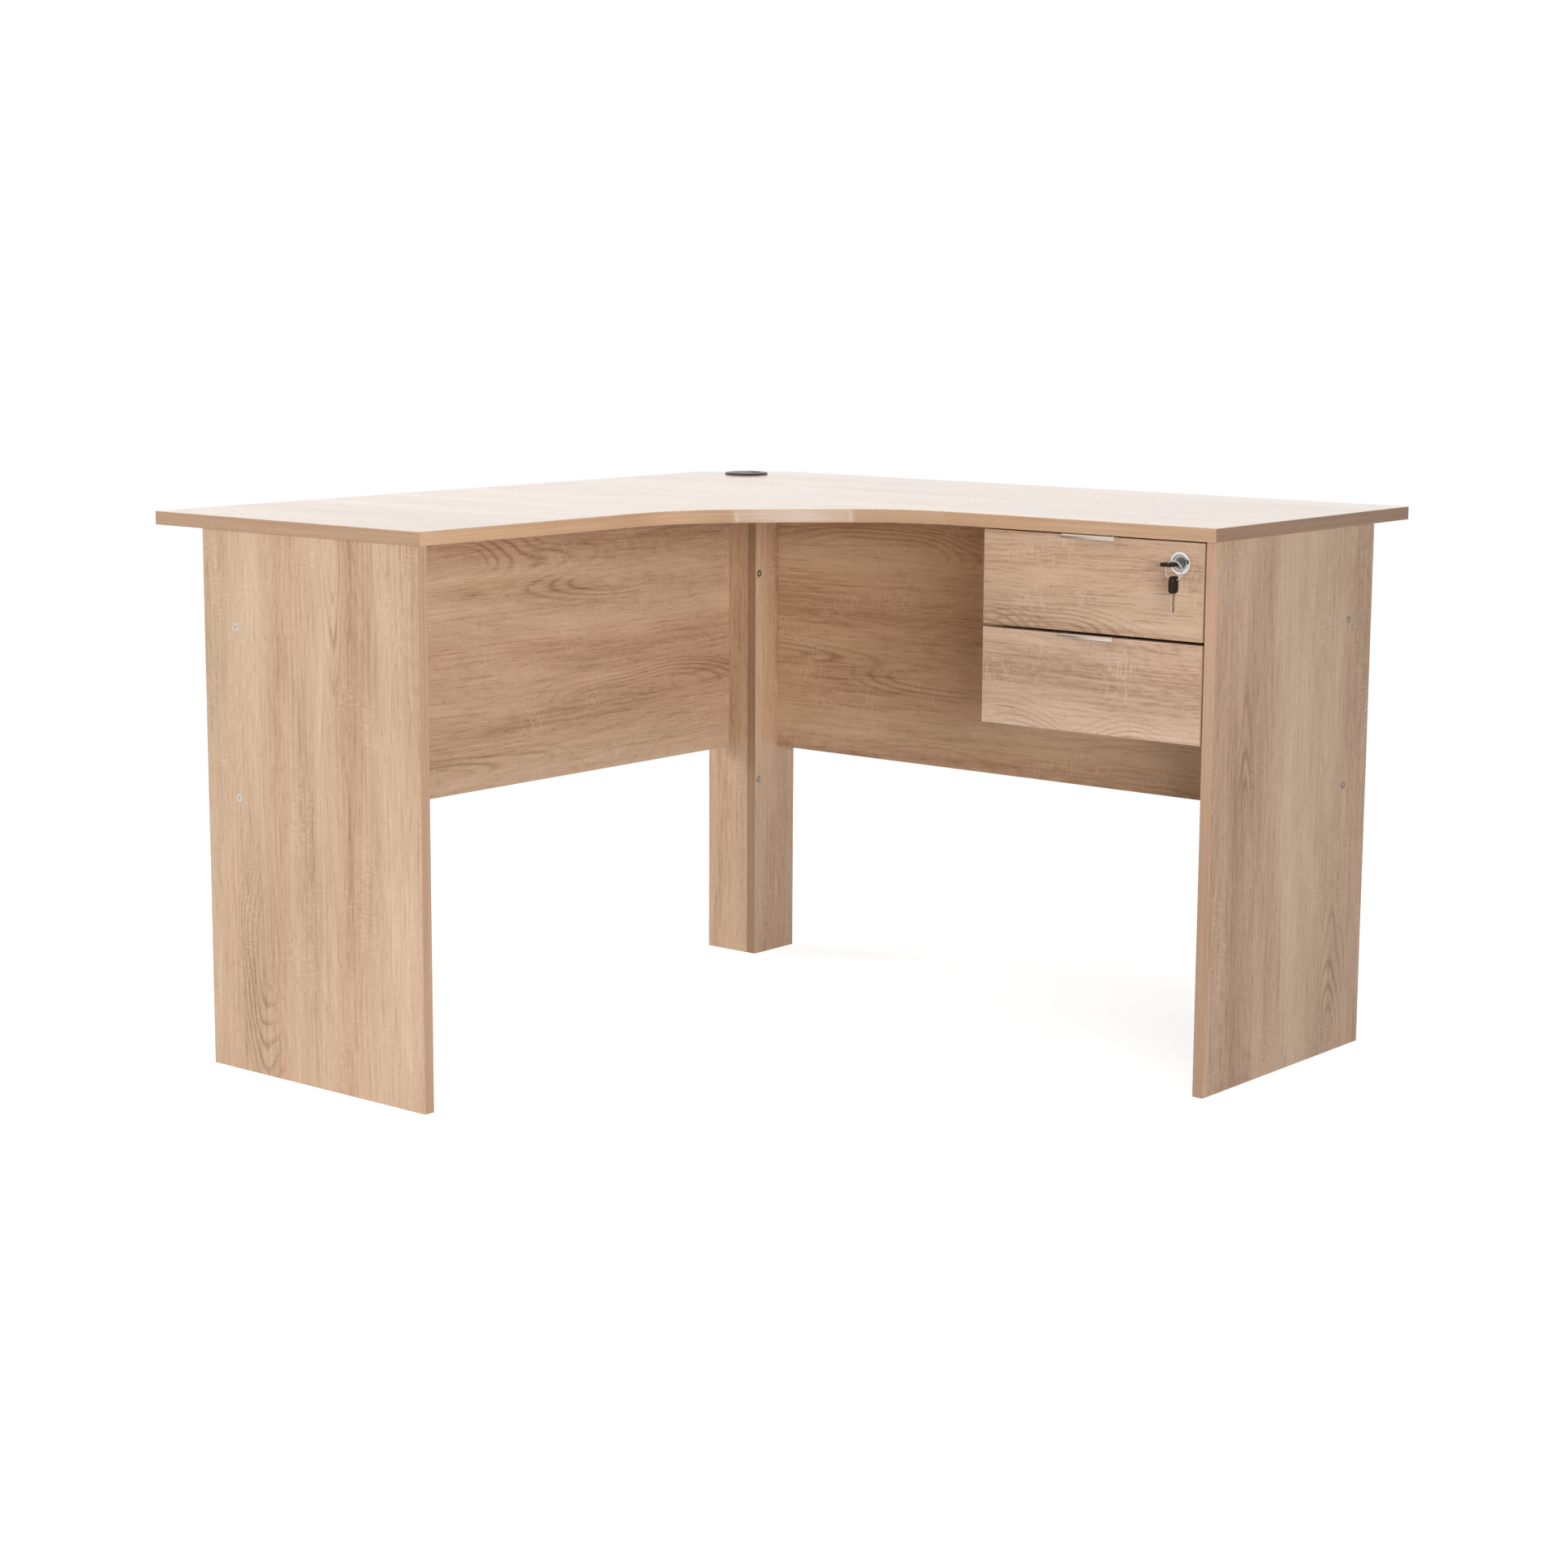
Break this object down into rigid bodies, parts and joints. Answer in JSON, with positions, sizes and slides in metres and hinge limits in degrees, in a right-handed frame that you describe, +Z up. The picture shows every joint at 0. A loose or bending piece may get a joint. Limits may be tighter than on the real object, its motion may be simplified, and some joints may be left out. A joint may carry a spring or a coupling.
{
  "type": "corner office desk",
  "caption": "Corner desk with an L-shaped wood-grain top on panel legs and a corner post, modesty panels, lockable drawers with edge pulls under one wing and a cable grommet.",
  "frame": {"origin": "on the floor under the middle of the top's outer square", "axes": "+Z up; the room's walls are at +Y and -X, the person sits towards +X and -Y, and the drawers open towards -Y"},
  "size_m": [1.2, 1.2, 0.738],
  "materials": {
    "oak_laminate": "light oak laminate, fine open grain, satin",
    "drawer_board": "pale laminate, satin",
    "hardboard": "thin pale hardboard",
    "dowel_wood": "plain beech",
    "zinc_steel": "bright zinc",
    "runner_steel": "white powder coat",
    "roller_plastic": "white nylon",
    "satin_aluminium": "satin anodised",
    "chrome": "polished",
    "nickel_steel": "nickel plated",
    "dark_plastic": "dark grey, matte",
    "black_plastic": "black, moulded"
  },
  "bodies": {
    "desk": {"desk_top": "oak_laminate", "left_end_panel": "oak_laminate", "right_end_panel": "oak_laminate", "left_modesty_panel": "oak_laminate", "right_modesty_panel": "oak_laminate", "post_left_board": "oak_laminate", "post_right_board": "oak_laminate", "drawer_partition": "oak_laminate", "panel_screws": "zinc_steel", "top_angles": "zinc_steel", "short_screws": "zinc_steel", "grommet_liner": "dark_plastic", "lock_strike": "zinc_steel", "upper_left_fixed_runner": "runner_steel", "upper_right_fixed_runner": "runner_steel", "lower_left_fixed_runner": "runner_steel", "lower_right_fixed_runner": "runner_steel"},
    "upper_drawer": {"upper_drawer_front": "oak_laminate", "upper_drawer_left_side": "drawer_board", "upper_drawer_right_side": "drawer_board", "upper_drawer_back": "drawer_board", "upper_drawer_bottom": "hardboard", "upper_drawer_pull": "satin_aluminium", "upper_drawer_left_runner": "runner_steel", "upper_drawer_right_runner": "runner_steel", "upper_drawer_dowels": "dowel_wood", "upper_drawer_screws": "zinc_steel", "upper_drawer_short_screws": "zinc_steel", "lock_housing": "chrome", "lock_nut": "zinc_steel"},
    "lower_drawer": {"lower_drawer_front": "oak_laminate", "lower_drawer_left_side": "drawer_board", "lower_drawer_right_side": "drawer_board", "lower_drawer_back": "drawer_board", "lower_drawer_bottom": "hardboard", "lower_drawer_pull": "satin_aluminium", "lower_drawer_left_runner": "runner_steel", "lower_drawer_right_runner": "runner_steel", "lower_drawer_dowels": "dowel_wood", "lower_drawer_screws": "zinc_steel", "lower_drawer_short_screws": "zinc_steel"},
    "upper_left_front_roller": {"upper_left_front_roller": "roller_plastic"},
    "upper_left_rear_roller": {"upper_left_rear_roller": "roller_plastic"},
    "upper_right_front_roller": {"upper_right_front_roller": "roller_plastic"},
    "upper_right_rear_roller": {"upper_right_rear_roller": "roller_plastic"},
    "lower_left_front_roller": {"lower_left_front_roller": "roller_plastic"},
    "lower_left_rear_roller": {"lower_left_rear_roller": "roller_plastic"},
    "lower_right_front_roller": {"lower_right_front_roller": "roller_plastic"},
    "lower_right_rear_roller": {"lower_right_rear_roller": "roller_plastic"},
    "lock_plug": {"lock_plug": "chrome", "lock_cam": "zinc_steel", "lock_cam_screw": "zinc_steel"},
    "key": {"key_bow": "black_plastic", "key_blade": "nickel_steel"},
    "key_ring": {"key_ring": "chrome"},
    "spare_key": {"spare_key_bow": "black_plastic", "spare_key_blade": "nickel_steel"},
    "grommet_cap": {"grommet_cap": "dark_plastic"}
  },
  "joints": [
    {"name": "upper_drawer_slide", "type": "slide", "parent": "desk", "child": "upper_drawer", "axis": [0, -1, 0], "range_m": [0, 0.215]},
    {"name": "lower_drawer_slide", "type": "slide", "parent": "desk", "child": "lower_drawer", "axis": [0, -1, 0], "range_m": [0, 0.215]},
    {"name": "upper_left_front_roller_spin", "type": "hinge", "parent": "desk", "child": "upper_left_front_roller", "pos_m": [0.2615, 0.136, 0.6155], "axis": [1, 0, 0], "range_deg": [-5, 1545]},
    {"name": "upper_left_rear_roller_spin", "type": "hinge", "parent": "upper_drawer", "child": "upper_left_rear_roller", "pos_m": [0.2615, 0.41, 0.6075], "axis": [1, 0, 0], "range_deg": [-5, 1545]},
    {"name": "upper_right_front_roller_spin", "type": "hinge", "parent": "desk", "child": "upper_right_front_roller", "pos_m": [0.5765, 0.136, 0.6155], "axis": [1, 0, 0], "range_deg": [-5, 1545]},
    {"name": "upper_right_rear_roller_spin", "type": "hinge", "parent": "upper_drawer", "child": "upper_right_rear_roller", "pos_m": [0.5765, 0.41, 0.6075], "axis": [1, 0, 0], "range_deg": [-5, 1545]},
    {"name": "lower_left_front_roller_spin", "type": "hinge", "parent": "desk", "child": "lower_left_front_roller", "pos_m": [0.2615, 0.136, 0.4835], "axis": [1, 0, 0], "range_deg": [-5, 1545]},
    {"name": "lower_left_rear_roller_spin", "type": "hinge", "parent": "lower_drawer", "child": "lower_left_rear_roller", "pos_m": [0.2615, 0.41, 0.4755], "axis": [1, 0, 0], "range_deg": [-5, 1545]},
    {"name": "lower_right_front_roller_spin", "type": "hinge", "parent": "desk", "child": "lower_right_front_roller", "pos_m": [0.5765, 0.136, 0.4835], "axis": [1, 0, 0], "range_deg": [-5, 1545]},
    {"name": "lower_right_rear_roller_spin", "type": "hinge", "parent": "lower_drawer", "child": "lower_right_rear_roller", "pos_m": [0.5765, 0.41, 0.4755], "axis": [1, 0, 0], "range_deg": [-5, 1545]},
    {"name": "lock_turn", "type": "hinge", "parent": "upper_drawer", "child": "lock_plug", "pos_m": [0.544, 0.106, 0.688], "axis": [0, 1, 0], "range_deg": [0, 90]},
    {"name": "key_pull", "type": "slide", "parent": "lock_plug", "child": "key", "axis": [0, -1, 0], "range_m": [0, 0.03]},
    {"name": "key_ring_swing", "type": "hinge", "parent": "key", "child": "key_ring", "pos_m": [0.544, 0.075, 0.688], "axis": [0, 0, 1], "range_deg": [-25, 12]},
    {"name": "spare_key_swing", "type": "hinge", "parent": "key_ring", "child": "spare_key", "pos_m": [0.55383, 0.075, 0.68112], "axis": [0, -1, 0], "range_deg": [-10, 95]},
    {"name": "grommet_cap_turn", "type": "hinge", "parent": "desk", "child": "grommet_cap", "pos_m": [-0.505, 0.505, 0.737], "axis": [0, 0, 1], "continuous": true}
  ],
  "couplings": [
    {"joint": "upper_left_front_roller_spin", "follows": "upper_drawer_slide", "rad_per_m": 125},
    {"joint": "upper_left_rear_roller_spin", "follows": "upper_drawer_slide", "rad_per_m": 125},
    {"joint": "upper_right_front_roller_spin", "follows": "upper_drawer_slide", "rad_per_m": 125},
    {"joint": "upper_right_rear_roller_spin", "follows": "upper_drawer_slide", "rad_per_m": 125},
    {"joint": "lower_left_front_roller_spin", "follows": "lower_drawer_slide", "rad_per_m": 125},
    {"joint": "lower_left_rear_roller_spin", "follows": "lower_drawer_slide", "rad_per_m": 125},
    {"joint": "lower_right_front_roller_spin", "follows": "lower_drawer_slide", "rad_per_m": 125},
    {"joint": "lower_right_rear_roller_spin", "follows": "lower_drawer_slide", "rad_per_m": 125}
  ]
}
